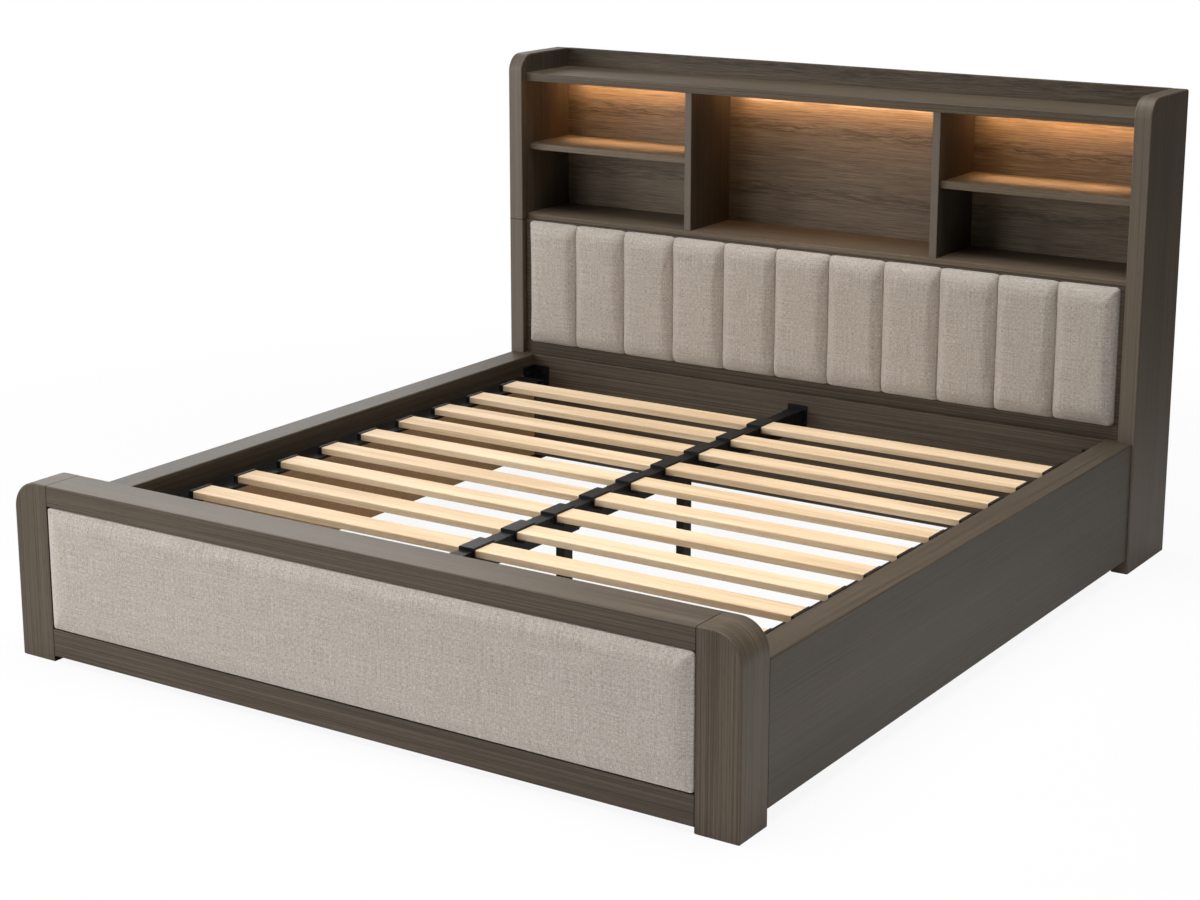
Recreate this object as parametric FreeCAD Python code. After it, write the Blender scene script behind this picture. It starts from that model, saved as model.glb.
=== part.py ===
import FreeCAD, Part
import os

from FreeCAD import Vector

# King-size bed with a bookcase headboard, an upholstered footboard and a split slat base.
# Millimetres. X runs across the bed, Y from the foot to the head, Z up from the floor.
# The origin is on the floor under the middle of the bed's overall box.

# Mattress and the well that it lies in
mattress_width = 1930.0
mattress_length = 2030.0
mattress_play = 20.0
slat_drop = 42.0

# Side rails, boxed from boards and open underneath
rail_thickness = 85.0
rail_height = 337.0
rail_floor_gap = 43.0
rail_board = 18.0

# Footboard
post_width = 112.0
foot_depth = 118.0
foot_height = 465.0
post_round = 72.0
foot_top_rail_height = 53.0
foot_bottom_rail_height = 72.0
foot_bottom_gap = 16.0
foot_panel_thickness = 12.0
foot_pad_seat = 22.0
foot_pad_proud = 5.0
foot_pad_reveal = 1.5
foot_pad_corner = 14.0
foot_pad_edge = 12.0

# Headboard case
upright_thickness = 50.0
upright_proud = 6.0
upright_round = 55.0
upright_back_round = 8.0
head_depth = 280.0
head_height = 1345.0
gallery_height = 58.0
top_shelf_thickness = 26.0
top_shelf_setback = 24.0
bookcase_height = 424.0
bookcase_floor_thickness = 19.0
bay_setback = 30.0
centre_bay_width = 808.0
divider_thickness = 24.0
mid_shelf_rise = 203.0
mid_shelf_thickness = 21.0
mid_shelf_setback = 45.0
back_panel_thickness = 15.0
head_rail_thickness = 25.0

# Headboard pad, sewn into upright channels
pad_board_thickness = 15.0
pad_board_setback = 20.0
head_pad_thickness = 32.0
head_pad_margin = 20.0
head_pad_lift = 38.0
head_pad_top_gap = 3.0
head_pad_edge = 16.0
channel_count = 11
channel_groove = 9.0

# Shelf lights
led_channel_width = 17.0
led_channel_height = 8.0
led_channel_wall = 1.2
led_end_gap = 70.0
led_back_gap = 38.0
led_fit = 0.2
diffuser_thickness = 1.6
tape_width = 10.0
tape_thickness = 1.5
driver_length = 170.0
driver_height = 46.0
driver_depth = 32.0
driver_ear = 14.0
driver_ear_thickness = 3.0
driver_above_floor = 420.0
grommet_above_floor = 300.0
grommet_flange_diameter = 24.0
grommet_flange_thickness = 3.0
grommet_barrel_diameter = 14.0
grommet_tail = 6.0
grommet_bore_diameter = 8.0
grommet_fit = 0.3

# Slat base
slat_count = 10
slat_width = 75.0
slat_thickness = 18.0
slat_end_margin = 228.0
slat_rail_gap = 67.0
slat_ease = 2.5
slat_fit = 0.3
slat_bearing = 21.0
stop_thickness = 12.0
stop_rise = 2.0
stop_overlap = 3.0
stop_edge = 1.5
ledge_height = 45.0
ledge_wall = 3.0
ledge_end_clear = 12.0
beam_width = 40.0
beam_height = 60.0
beam_wall = 2.0
beam_drop = 3.0
beam_end_gap = 1.0
cap_wall = 3.0
cap_crown = 8.5
cap_edge = 1.5
cap_lip = 28.0
cap_lip_thickness = 6.0
cap_overlap = 6.0
cap_fit = 0.3
bracket_plate_width = 66.0
bracket_plate_rise = 12.0
bracket_plate_thickness = 4.0
bracket_cradle_length = 48.0
bracket_wall = 3.0
bracket_fit = 0.4
corner_bracket_leg = 60.0
corner_bracket_height = 80.0
corner_bracket_wall = 4.0
corner_bracket_above_slats = 7.0

# Centre legs with levelling feet
leg_width = 25.0
leg_depth = 40.0
leg_wall = 2.0
leg_plate_length = 84.0
leg_plate_thickness = 4.0
leg_plug_height = 26.0
foot_leg_inset = 790.0
head_leg_inset = 660.0
leveller_diameter = 26.0
leveller_height = 10.0
leveller_edge = 2.0
leveller_rise = 5.0
leveller_top_gap = 1.0
stem_diameter = 10.0
stem_length = 50.0
stem_fit = 0.3

# Roundings shared by the boards
edge_round = 4.0
arris = 2.0
seam_bevel = 0.8
back_bevel = 2.5
base_bevel = 3.0

# Places worked out from the sizes above
well_width = mattress_width + mattress_play
well_length = mattress_length + mattress_play
rail_inner_x = well_width / 2
rail_outer_x = rail_inner_x + rail_thickness
rail_top_z = rail_floor_gap + rail_height
post_inner_x = rail_outer_x - post_width
head_outer_x = rail_outer_x + upright_proud
head_inner_x = head_outer_x - upright_thickness

overall_length = foot_pad_proud + foot_depth + well_length + head_depth
foot_front_y = foot_pad_proud - overall_length / 2
foot_back_y = foot_front_y + foot_depth
head_front_y = foot_back_y + well_length
head_back_y = head_front_y + head_depth
panel_front_y = head_back_y - back_panel_thickness

top_shelf_top_z = head_height - gallery_height
top_shelf_bottom_z = top_shelf_top_z - top_shelf_thickness
floor_top_z = top_shelf_bottom_z - bookcase_height
floor_bottom_z = floor_top_z - bookcase_floor_thickness

slat_top_z = rail_top_z - slat_drop
slat_bottom_z = slat_top_z - slat_thickness
beam_top_z = slat_top_z - beam_drop
beam_bottom_z = beam_top_z - beam_height
cap_inner_x = beam_width / 2 + cap_fit
cap_side_x = cap_inner_x + cap_wall
slat_pitch = (well_length - 2 * slat_end_margin) / (slat_count - 1)
slat_rows = [foot_back_y + slat_end_margin + slat_pitch * i for i in range(slat_count)]

ACROSS = Vector(1, 0, 0)
ALONG = Vector(0, 1, 0)
UP = Vector(0, 0, 1)


def block(x0, x1, y0, y1, z0, z1):
    """A board from its six faces."""
    return Part.makeBox(x1 - x0, y1 - y0, z1 - z0, Vector(x0, y0, z0))


def drum(diameter, length, base, axis):
    """A round bar from the middle of its first end."""
    return Part.makeCylinder(diameter / 2, length, base, axis)


def mirrored(shape):
    """The same piece on the other side of the bed."""
    return shape.mirror(Vector(0, 0, 0), ACROSS)


def lies_at(edge, x=None, y=None, z=None):
    """True for an edge that lies wholly at each given coordinate."""
    box = edge.BoundBox
    spans = ((x, box.XMin, box.XMax), (y, box.YMin, box.YMax), (z, box.ZMin, box.ZMax))
    near = 1e-4
    return all(v is None or (abs(lo - v) < near and abs(hi - v) < near) for v, lo, hi in spans)


def edges_at(shape, *places):
    """The edges that lie at any of the given places."""
    return [e for e in shape.Edges if any(lies_at(e, **place) for place in places)]


def eased(shape, radius, *places):
    """Rounds the edges at the given places."""
    return shape.makeFillet(radius, edges_at(shape, *places))


def bevelled(shape, size, *places):
    """Takes a narrow flat off the edges at the given places."""
    return shape.makeChamfer(size, edges_at(shape, *places))


def corner_arc(start, middle, end):
    """A quarter-round edge through three points."""
    return Part.Arc(start, middle, end).toShape()


def prism(edges, way):
    """Fills a closed outline and pushes it along a direction."""
    return Part.Face(Part.Wire(edges)).extrude(way)


def save(name, *solids):
    """Writes one node, with a group of like solids kept apart."""
    shape = solids[0] if len(solids) == 1 else Part.Compound(list(solids))
    shape.exportStep("parts/" + name + ".step")


def quarter_middle(centre, to_start, to_end, radius):
    """The point half-way round a quarter circle."""
    half = (to_start + to_end).normalize()
    return centre + half * radius


def post_outline(post, y):
    """The edges round the front or back of a post, without those against the rails and the floor."""
    return [e for e in edges_at(post, {"y": y}) if not lies_at(e, x=post_inner_x) and not lies_at(e, z=0)]


def footboard_post():
    """Right-hand post, its top outer corner turned over in a large round, bevelled where rails meet it."""
    y = foot_front_y
    r = post_round
    inner_low = Vector(post_inner_x, y, 0)
    outer_low = Vector(rail_outer_x, y, 0)
    round_start = Vector(rail_outer_x, y, foot_height - r)
    round_end = Vector(rail_outer_x - r, y, foot_height)
    inner_high = Vector(post_inner_x, y, foot_height)
    centre = Vector(rail_outer_x - r, y, foot_height - r)
    middle = quarter_middle(centre, ACROSS, UP, r)
    outline = [
        Part.makeLine(inner_low, outer_low),
        Part.makeLine(outer_low, round_start),
        corner_arc(round_start, middle, round_end),
        Part.makeLine(round_end, inner_high),
        Part.makeLine(inner_high, inner_low),
    ]
    post = prism(outline, ALONG * foot_depth)
    post = post.makeFillet(edge_round, post_outline(post, foot_front_y))
    post = post.makeChamfer(back_bevel, post_outline(post, foot_back_y))
    post = bevelled(post, base_bevel, {"z": 0})
    return bevelled(post, seam_bevel, {"x": post_inner_x})


def footboard_rail(bottom, top, *soft_edges):
    """A cross rail between the posts, flush with them front and back, its ends bevelled to a fine groove."""
    rail = block(-post_inner_x, post_inner_x, foot_front_y, foot_back_y, bottom, top)
    return bevelled(eased(rail, *soft_edges), seam_bevel, {"x": -post_inner_x}, {"x": post_inner_x})


def make_footboard():
    """Posts and rails frame a thin back panel and the board that carries the pad."""
    post = footboard_post()
    save("footboard_right_post", post)
    save("footboard_left_post", mirrored(post))

    opening_top = foot_height - foot_top_rail_height
    opening_bottom = foot_bottom_gap + foot_bottom_rail_height
    top_edges = ({"y": foot_front_y, "z": foot_height}, {"y": foot_back_y, "z": foot_height})
    save("footboard_top_rail", footboard_rail(opening_top, foot_height, edge_round, *top_edges))
    low_edges = ({"y": foot_front_y, "z": foot_bottom_gap}, {"y": foot_back_y, "z": foot_bottom_gap})
    save("footboard_bottom_rail", footboard_rail(foot_bottom_gap, opening_bottom, arris, *low_edges))

    seat_y = foot_front_y + foot_pad_seat
    panel_y = foot_back_y - foot_panel_thickness
    for name, y in (("footboard_pad_board", seat_y), ("footboard_back_panel", panel_y)):
        save(name, block(-post_inner_x, post_inner_x, y, y + foot_panel_thickness,
                         opening_bottom, opening_top))

    half = post_inner_x - foot_pad_reveal
    low = opening_bottom + foot_pad_reveal
    high = opening_top - foot_pad_reveal
    crown_y = foot_front_y - foot_pad_proud
    pad = block(-half, half, crown_y, seat_y, low, high)
    pad = eased(pad, foot_pad_corner, {"x": -half, "z": low}, {"x": half, "z": low},
                {"x": -half, "z": high}, {"x": half, "z": high})
    save("footboard_pad", eased(pad, foot_pad_edge, {"y": crown_y}))


def make_side_rails():
    """Inverted troughs of board: outer face, top and inner face, open to the floor."""
    rail = block(rail_inner_x, rail_outer_x, foot_back_y, head_front_y, rail_floor_gap, rail_top_z)
    rail = eased(rail, edge_round, {"x": rail_inner_x, "z": rail_top_z},
                 {"x": rail_outer_x, "z": rail_top_z})
    hollow = block(rail_inner_x + rail_board, rail_outer_x - rail_board, foot_back_y, head_front_y,
                   rail_floor_gap, rail_top_z - rail_board)
    rail = rail.cut(hollow)
    save("right_side_rail", rail)
    save("left_side_rail", mirrored(rail))


def headboard_upright():
    """Right-hand side of the bookcase, a plank whose front top corner is rounded."""
    x = head_inner_x
    r = upright_round
    b = upright_back_round
    front_low = Vector(x, head_front_y, 0)
    back_low = Vector(x, head_back_y, 0)
    back_round_start = Vector(x, head_back_y, head_height - b)
    back_round_end = Vector(x, head_back_y - b, head_height)
    front_round_start = Vector(x, head_front_y + r, head_height)
    front_round_end = Vector(x, head_front_y, head_height - r)
    back_centre = Vector(x, head_back_y - b, head_height - b)
    front_centre = Vector(x, head_front_y + r, head_height - r)
    outline = [
        Part.makeLine(front_low, back_low),
        Part.makeLine(back_low, back_round_start),
        corner_arc(back_round_start, quarter_middle(back_centre, ALONG, UP, b), back_round_end),
        Part.makeLine(back_round_end, front_round_start),
        corner_arc(front_round_start, quarter_middle(front_centre, ALONG * -1, UP, r), front_round_end),
        Part.makeLine(front_round_end, front_low),
    ]
    plank = prism(outline, ACROSS * upright_thickness)
    sides = edges_at(plank, {"x": head_inner_x}, {"x": head_outer_x})
    shown = [e for e in sides if not lies_at(e, y=head_back_y) and not lies_at(e, z=0)]
    return plank.makeFillet(edge_round, shown)


def front_eased_board(x0, x1, front_y, z0, z1):
    """A level board from its setback to the back panel, with its front arrises eased."""
    board = block(x0, x1, front_y, panel_front_y, z0, z1)
    return eased(board, arris, {"y": front_y, "z": z0}, {"y": front_y, "z": z1})


def make_bookcase():
    """Uprights, shelves, dividers and back panels of the headboard."""
    upright = headboard_upright()
    save("headboard_right_upright", upright)
    save("headboard_left_upright", mirrored(upright))

    shelf_front_y = head_front_y + top_shelf_setback
    bay_front_y = head_front_y + bay_setback
    save("headboard_top_shelf", front_eased_board(-head_inner_x, head_inner_x, shelf_front_y,
                                                  top_shelf_bottom_z, top_shelf_top_z))
    save("bookcase_floor", front_eased_board(-head_inner_x, head_inner_x, bay_front_y,
                                             floor_bottom_z, floor_top_z))

    divider_inner_x = centre_bay_width / 2
    divider_outer_x = divider_inner_x + divider_thickness
    divider = block(divider_inner_x, divider_outer_x, bay_front_y, panel_front_y,
                    floor_top_z, top_shelf_bottom_z)
    divider = eased(divider, arris, {"x": divider_inner_x, "y": bay_front_y},
                    {"x": divider_outer_x, "y": bay_front_y})
    save("bookcase_right_divider", divider)
    save("bookcase_left_divider", mirrored(divider))

    mid_bottom_z = floor_top_z + mid_shelf_rise
    mid_shelf = front_eased_board(divider_outer_x, head_inner_x, head_front_y + mid_shelf_setback,
                                  mid_bottom_z, mid_bottom_z + mid_shelf_thickness)
    save("bookcase_right_shelf", mid_shelf)
    save("bookcase_left_shelf", mirrored(mid_shelf))

    back = block(-head_inner_x, head_inner_x, panel_front_y, head_back_y, floor_bottom_z, head_height)
    save("bookcase_back_panel", eased(back, arris, {"y": panel_front_y, "z": head_height},
                                      {"y": head_back_y, "z": head_height}))

    lower = block(-head_inner_x, head_inner_x, panel_front_y, head_back_y, rail_floor_gap, floor_bottom_z)
    mouth = Vector(0, head_back_y, grommet_above_floor)
    hole = drum(grommet_barrel_diameter + 2 * grommet_fit, back_panel_thickness, mouth, ALONG * -1)
    recess = drum(grommet_flange_diameter + 2 * grommet_fit, grommet_flange_thickness, mouth, ALONG * -1)
    save("lower_back_panel", lower.cut(hole).cut(recess))

    head_rail = block(-head_inner_x, head_inner_x, head_front_y, head_front_y + head_rail_thickness,
                      rail_floor_gap, rail_top_z)
    save("head_end_rail", eased(head_rail, arris, {"y": head_front_y, "z": rail_top_z}))


def make_headboard_pad():
    """A board behind and eleven sewn channels in front, each bulging between its seams."""
    seat_y = head_front_y + pad_board_setback
    save("headboard_pad_board", block(-head_inner_x, head_inner_x, seat_y, seat_y + pad_board_thickness,
                                      rail_top_z, floor_bottom_z))

    half = head_inner_x - head_pad_margin
    low = rail_top_z + head_pad_lift
    high = floor_bottom_z - head_pad_top_gap
    crown_y = seat_y - head_pad_thickness
    groove_y = crown_y + channel_groove
    pitch = 2 * half / channel_count
    seams = [Vector(-half + pitch * i, groove_y, low) for i in range(channel_count + 1)]
    outline = []
    for left, right in zip(seams, seams[1:]):
        crown = Vector((left.x + right.x) / 2, crown_y, low)
        outline.append(Part.Arc(left, crown, right).toShape())
    back_right = Vector(half, seat_y, low)
    back_left = Vector(-half, seat_y, low)
    outline.append(Part.makeLine(seams[-1], back_right))
    outline.append(Part.makeLine(back_right, back_left))
    outline.append(Part.makeLine(back_left, seams[0]))
    channels = prism(outline, UP * (high - low))
    softened = block(-half, half, crown_y, seat_y, low, high)
    softened = eased(softened, head_pad_edge, {"y": crown_y, "z": low}, {"y": crown_y, "z": high})
    save("headboard_pad", channels.common(softened))


def led_bays():
    """Each lit bay's name and the clear run between its sides."""
    divider_inner_x = centre_bay_width / 2
    divider_outer_x = divider_inner_x + divider_thickness
    return (("left", -head_inner_x, -divider_outer_x),
            ("centre", -divider_inner_x, divider_inner_x),
            ("right", divider_outer_x, head_inner_x))


def make_lights():
    """Aluminium channels under the top shelf, their tapes and diffusers, the driver and a grommet."""
    back_y = panel_front_y - led_back_gap
    front_y = back_y - led_channel_width
    roof_z = top_shelf_bottom_z - led_channel_wall
    lip_z = top_shelf_bottom_z - led_channel_height
    middle_y = (front_y + back_y) / 2
    slot_front_y = front_y + led_channel_wall
    slot_back_y = back_y - led_channel_wall
    diffusers = []
    tapes = []
    for name, left, right in led_bays():
        x0 = left + led_end_gap
        x1 = right - led_end_gap
        channel = block(x0, x1, front_y, back_y, lip_z, top_shelf_bottom_z)
        channel = channel.cut(block(x0, x1, slot_front_y, slot_back_y, lip_z, roof_z))
        save("led_channel_" + name, channel)
        diffusers.append(block(x0, x1, slot_front_y + led_fit, slot_back_y - led_fit,
                               lip_z, lip_z + diffuser_thickness))
        tapes.append(block(x0, x1, middle_y - tape_width / 2, middle_y + tape_width / 2,
                           roof_z - tape_thickness, roof_z))
    save("led_diffusers", *diffusers)
    save("led_tapes", *tapes)

    half = driver_length / 2
    driver_low = driver_above_floor
    driver_high = driver_above_floor + driver_height
    driver_front_y = panel_front_y - driver_depth
    case = block(-half, half, driver_front_y, panel_front_y, driver_low, driver_high)
    case = eased(case, edge_round, {"y": driver_front_y})
    ears = block(-half - driver_ear, half + driver_ear, panel_front_y - driver_ear_thickness, panel_front_y,
                 driver_low, driver_high)
    save("led_driver", case.fuse(ears).removeSplitter())

    mouth = Vector(0, head_back_y, grommet_above_floor)
    length = back_panel_thickness + grommet_tail
    flange = drum(grommet_flange_diameter, grommet_flange_thickness, mouth, ALONG * -1)
    barrel = drum(grommet_barrel_diameter, length, mouth, ALONG * -1)
    bore = drum(grommet_bore_diameter, length, mouth, ALONG * -1)
    save("cord_grommet", flange.fuse(barrel).cut(bore).removeSplitter())


def make_slats():
    """Ten rows of slats, split at the middle, each a planed board with eased long arrises."""
    inner_x = cap_side_x + slat_fit
    outer_x = rail_inner_x - slat_rail_gap
    for row, y in enumerate(slat_rows, start=1):
        y0 = y - slat_width / 2
        y1 = y + slat_width / 2
        slat = block(inner_x, outer_x, y0, y1, slat_bottom_z, slat_top_z)
        slat = eased(slat, slat_ease, {"y": y0, "z": slat_top_z}, {"y": y1, "z": slat_top_z})
        save("slat_right_%02d" % row, slat)
        save("slat_left_%02d" % row, mirrored(slat))


def slat_stop(y):
    """A moulded block on the right-hand ledge that a slat's outer end butts against."""
    x0 = rail_inner_x - slat_rail_gap + slat_fit
    x1 = x0 + stop_thickness
    y0 = y - slat_width / 2 - stop_overlap
    y1 = y + slat_width / 2 + stop_overlap
    top_z = slat_top_z + stop_rise
    stop = block(x0, x1, y0, y1, slat_bottom_z, top_z)
    return bevelled(stop, stop_edge, {"z": top_z})


def slat_cap(y):
    """A hat-section saddle over the beam, with a lip each side that carries a slat's inner end."""
    lip_x = cap_side_x + cap_lip
    lip_z = slat_bottom_z - cap_lip_thickness
    crown_z = beam_top_z + cap_crown
    y0 = y - slat_width / 2 - cap_overlap
    right = [(cap_inner_x, beam_top_z), (cap_inner_x, lip_z), (lip_x, lip_z), (lip_x, slat_bottom_z),
             (cap_side_x, slat_bottom_z), (cap_side_x, crown_z)]
    left = [(-x, z) for x, z in reversed(right)]
    outline = Part.makePolygon([Vector(x, y0, z) for x, z in right + left + right[:1]])
    saddle = prism(outline.Edges, ALONG * (slat_width + 2 * cap_overlap))
    return bevelled(saddle, cap_edge, {"x": -cap_side_x, "z": crown_z}, {"x": cap_side_x, "z": crown_z})


def beam_bracket(face_y, inward):
    """A plate on the end board with a cradle that the beam drops into."""
    half = beam_width / 2 + bracket_fit
    plate_end_y = face_y + inward * bracket_plate_thickness
    cradle_end_y = plate_end_y + inward * bracket_cradle_length
    low = beam_bottom_z - bracket_wall
    plate_y0, plate_y1 = sorted((face_y, plate_end_y))
    cradle_y0, cradle_y1 = sorted((plate_end_y, cradle_end_y))
    plate = block(-bracket_plate_width / 2, bracket_plate_width / 2, plate_y0, plate_y1,
                  low, beam_top_z + bracket_plate_rise)
    cradle = block(-half - bracket_wall, half + bracket_wall, cradle_y0, cradle_y1, low, beam_top_z)
    trough = block(-half, half, cradle_y0, cradle_y1, beam_bottom_z, beam_top_z)
    return plate.fuse(cradle.cut(trough)).removeSplitter()


def corner_bracket(end_y, inward):
    """A pressed angle in the right-hand corner between a side rail and an end board."""
    high = slat_top_z + corner_bracket_above_slats
    low = high - corner_bracket_height
    rail_y0, rail_y1 = sorted((end_y, end_y + inward * corner_bracket_leg))
    end_y0, end_y1 = sorted((end_y, end_y + inward * corner_bracket_wall))
    on_rail = block(rail_inner_x - corner_bracket_wall, rail_inner_x, rail_y0, rail_y1, low, high)
    on_end = block(rail_inner_x - corner_bracket_leg, rail_inner_x, end_y0, end_y1, low, high)
    return on_rail.fuse(on_end).removeSplitter()


def make_slat_frame():
    """Steel ledges, the hollow centre beam, its brackets, the caps and stops of the slats, corner angles."""
    ledge_y0 = foot_back_y + corner_bracket_leg + ledge_end_clear
    ledge_y1 = head_front_y - corner_bracket_leg - ledge_end_clear
    ledge_inner_x = rail_inner_x - slat_rail_gap - slat_bearing
    shelf = block(ledge_inner_x, rail_inner_x, ledge_y0, ledge_y1, slat_bottom_z - ledge_wall, slat_bottom_z)
    flange = block(rail_inner_x - ledge_wall, rail_inner_x, ledge_y0, ledge_y1,
                   slat_bottom_z - ledge_height, slat_bottom_z)
    ledge = shelf.fuse(flange).removeSplitter()
    save("right_slat_ledge", ledge)
    save("left_slat_ledge", mirrored(ledge))

    beam_y0 = foot_back_y + bracket_plate_thickness + beam_end_gap
    beam_y1 = head_front_y - bracket_plate_thickness - beam_end_gap
    half = beam_width / 2
    tube = block(-half, half, beam_y0, beam_y1, beam_bottom_z, beam_top_z)
    bore = block(-half + beam_wall, half - beam_wall, beam_y0, beam_y1,
                 beam_bottom_z + beam_wall, beam_top_z - beam_wall)
    save("centre_beam", tube.cut(bore))

    save("beam_brackets", beam_bracket(foot_back_y, 1), beam_bracket(head_front_y, -1))
    save("slat_caps", *[slat_cap(y) for y in slat_rows])
    stops = [slat_stop(y) for y in slat_rows]
    save("slat_stops", *stops, *[mirrored(s) for s in stops])
    corners = [corner_bracket(foot_back_y, 1), corner_bracket(head_front_y, -1)]
    save("corner_brackets", *corners, *[mirrored(c) for c in corners])


def centre_leg(y):
    """A rectangular tube under a screw plate, plugged at the bottom to take the foot's stem."""
    tube_bottom_z = leveller_height + leveller_rise + leveller_top_gap
    plate_bottom_z = beam_bottom_z - leg_plate_thickness
    half_x = leg_width / 2
    half_y = leg_depth / 2
    plate = block(-beam_width / 2, beam_width / 2, y - leg_plate_length / 2, y + leg_plate_length / 2,
                  plate_bottom_z, beam_bottom_z)
    tube = block(-half_x, half_x, y - half_y, y + half_y, tube_bottom_z, plate_bottom_z)
    hollow = block(-half_x + leg_wall, half_x - leg_wall, y - half_y + leg_wall, y + half_y - leg_wall,
                   tube_bottom_z + leg_plug_height, plate_bottom_z)
    nut = drum(stem_diameter + 2 * stem_fit, leg_plug_height, Vector(0, y, tube_bottom_z), UP)
    return plate.fuse(tube.cut(hollow)).cut(nut).removeSplitter()


def levelling_foot(y):
    """A moulded glide on a stem that screws up and down in the leg."""
    glide = drum(leveller_diameter, leveller_height, Vector(0, y, 0), UP)
    glide = bevelled(glide, leveller_edge, {"z": leveller_height})
    stem = drum(stem_diameter, stem_length, Vector(0, y, leveller_height), UP)
    return glide.fuse(stem).removeSplitter()


def make_centre_legs():
    """Two legs share the middle of the load with the rails."""
    for name, y in (("front", foot_back_y + foot_leg_inset), ("rear", head_front_y - head_leg_inset)):
        save(name + "_centre_leg", centre_leg(y))
        save(name + "_levelling_foot", levelling_foot(y))


os.makedirs("parts", exist_ok=True)
make_footboard()
make_side_rails()
make_bookcase()
make_headboard_pad()
make_lights()
make_slats()
make_slat_frame()
make_centre_legs()
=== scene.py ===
import math

import bmesh
import bpy
import numpy as np
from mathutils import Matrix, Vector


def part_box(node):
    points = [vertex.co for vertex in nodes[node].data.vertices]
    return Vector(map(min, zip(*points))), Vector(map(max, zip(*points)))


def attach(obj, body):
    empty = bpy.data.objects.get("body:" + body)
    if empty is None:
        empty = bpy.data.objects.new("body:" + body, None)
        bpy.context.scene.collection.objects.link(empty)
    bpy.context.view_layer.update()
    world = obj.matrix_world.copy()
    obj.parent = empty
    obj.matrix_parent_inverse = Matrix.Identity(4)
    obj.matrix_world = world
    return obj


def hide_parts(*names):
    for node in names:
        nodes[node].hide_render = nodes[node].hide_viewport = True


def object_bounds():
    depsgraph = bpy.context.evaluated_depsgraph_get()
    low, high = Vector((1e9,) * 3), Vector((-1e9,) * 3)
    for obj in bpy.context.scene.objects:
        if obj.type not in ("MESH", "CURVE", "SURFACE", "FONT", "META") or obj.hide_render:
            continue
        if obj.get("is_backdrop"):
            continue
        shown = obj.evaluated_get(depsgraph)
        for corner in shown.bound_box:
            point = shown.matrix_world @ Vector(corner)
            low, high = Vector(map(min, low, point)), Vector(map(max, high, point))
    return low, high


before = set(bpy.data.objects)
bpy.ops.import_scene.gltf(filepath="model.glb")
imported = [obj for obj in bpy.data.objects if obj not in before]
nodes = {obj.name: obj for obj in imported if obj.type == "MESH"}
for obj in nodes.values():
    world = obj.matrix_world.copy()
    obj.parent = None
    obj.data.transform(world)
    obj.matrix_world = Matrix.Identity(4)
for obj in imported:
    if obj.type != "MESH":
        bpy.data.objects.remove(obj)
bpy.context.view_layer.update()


# Side rails: inverted troughs of 18 mm board, faced with a dark smoked veneer whose grain runs the
# length of the bed and left bare inside, under the slats. The same veneer under a matt lacquer covers
# every dark board of the bed, its colour scaled board by board by a light factor: painted light and
# shade for how much light each board gets, and partly real differences between veneers.

across_bed, along_bed, upwards = range(3)


def feed(tree, node, inputs):
    """Gives a shader node its inputs: a socket is linked, any other value is set on the node."""
    for key, value in inputs.items():
        if isinstance(value, bpy.types.NodeSocket):
            tree.links.new(value, node.inputs[key])
        else:
            node.inputs[key].default_value = value


def add(tree, kind, inputs, **settings):
    """Adds a shader node with its settings and inputs."""
    node = tree.nodes.new(kind)
    for key, value in settings.items():
        setattr(node, key, value)
    feed(tree, node, inputs)
    return node


def empty_tree(owner):
    """The shader tree of a new material or world, with nothing in it."""
    owner.use_nodes = True
    owner.node_tree.nodes.clear()
    return owner.node_tree


def start_material(name):
    """An empty material with its surface shader."""
    material = bpy.data.materials.new(name)
    tree = empty_tree(material)
    shader = add(tree, "ShaderNodeBsdfPrincipled", {})
    add(tree, "ShaderNodeOutputMaterial", {"Surface": shader.outputs["BSDF"]})
    return material, tree, shader


def math_node(tree, operation, *values):
    """The result of one sum on sockets and numbers."""
    return add(tree, "ShaderNodeMath", dict(enumerate(values)), operation=operation).outputs[0]


def vector_node(tree, operation, *values):
    """The result of one sum on places or colours."""
    return add(tree, "ShaderNodeVectorMath", dict(enumerate(values)), operation=operation).outputs[0]


def mixture(tree, *shares):
    """The sum of several textures, each with its share."""
    total = 0.0
    for texture, share in shares:
        total = math_node(tree, "MULTIPLY_ADD", texture, share, total)
    return total


def rescale(tree, value, low, high, to_low=0.0, to_high=1.0):
    """Stretches a scale from low to high over another one and stops at its ends."""
    return add(tree, "ShaderNodeMapRange", {"Value": value, "From Min": low, "From Max": high,
                                            "To Min": to_low, "To Max": to_high}).outputs[0]


def ramp(tree, value, *stops):
    """Colours along a scale, each stop a place and a colour."""
    node = add(tree, "ShaderNodeValToRGB", {0: value})
    elements = node.color_ramp.elements
    while len(elements) < len(stops):
        elements.new(0.5)
    for element, (place, colour) in zip(elements, stops):
        element.position = place
        element.color = (*colour, 1.0)
    return node.outputs["Color"]


def lay_over(tree, share, under, over):
    """One colour laid over another by a share."""
    return add(tree, "ShaderNodeMix", {0: share, 6: under, 7: over}, data_type="RGBA").outputs[2]


def position(tree):
    """The place on the bed."""
    return add(tree, "ShaderNodeTexCoord", {}).outputs["Object"]


def split(tree, vector):
    """The x, y and z of a place or a direction."""
    return add(tree, "ShaderNodeSeparateXYZ", {0: vector}).outputs


def join(tree, *axes):
    """A place from its x, y and z."""
    return add(tree, "ShaderNodeCombineXYZ", dict(enumerate(axes))).outputs[0]


def facing(tree):
    """The way that a face looks, as x, y and z."""
    return split(tree, add(tree, "ShaderNodeNewGeometry", {}).outputs["True Normal"])


def noise(tree, spot, scale, detail, roughness=0.5):
    """Cloudy noise over a surface."""
    return add(tree, "ShaderNodeTexNoise", {"Vector": spot, "Scale": scale, "Detail": detail,
                                            "Roughness": roughness}).outputs[0]


def board_shift(tree):
    """A shift that differs from board to board, so that no two show the same piece of timber."""
    farthest = (61.0, 37.0, 83.0)
    own = add(tree, "ShaderNodeObjectInfo", {}).outputs["Random"]
    return vector_node(tree, "MULTIPLY", own, farthest)


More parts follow.
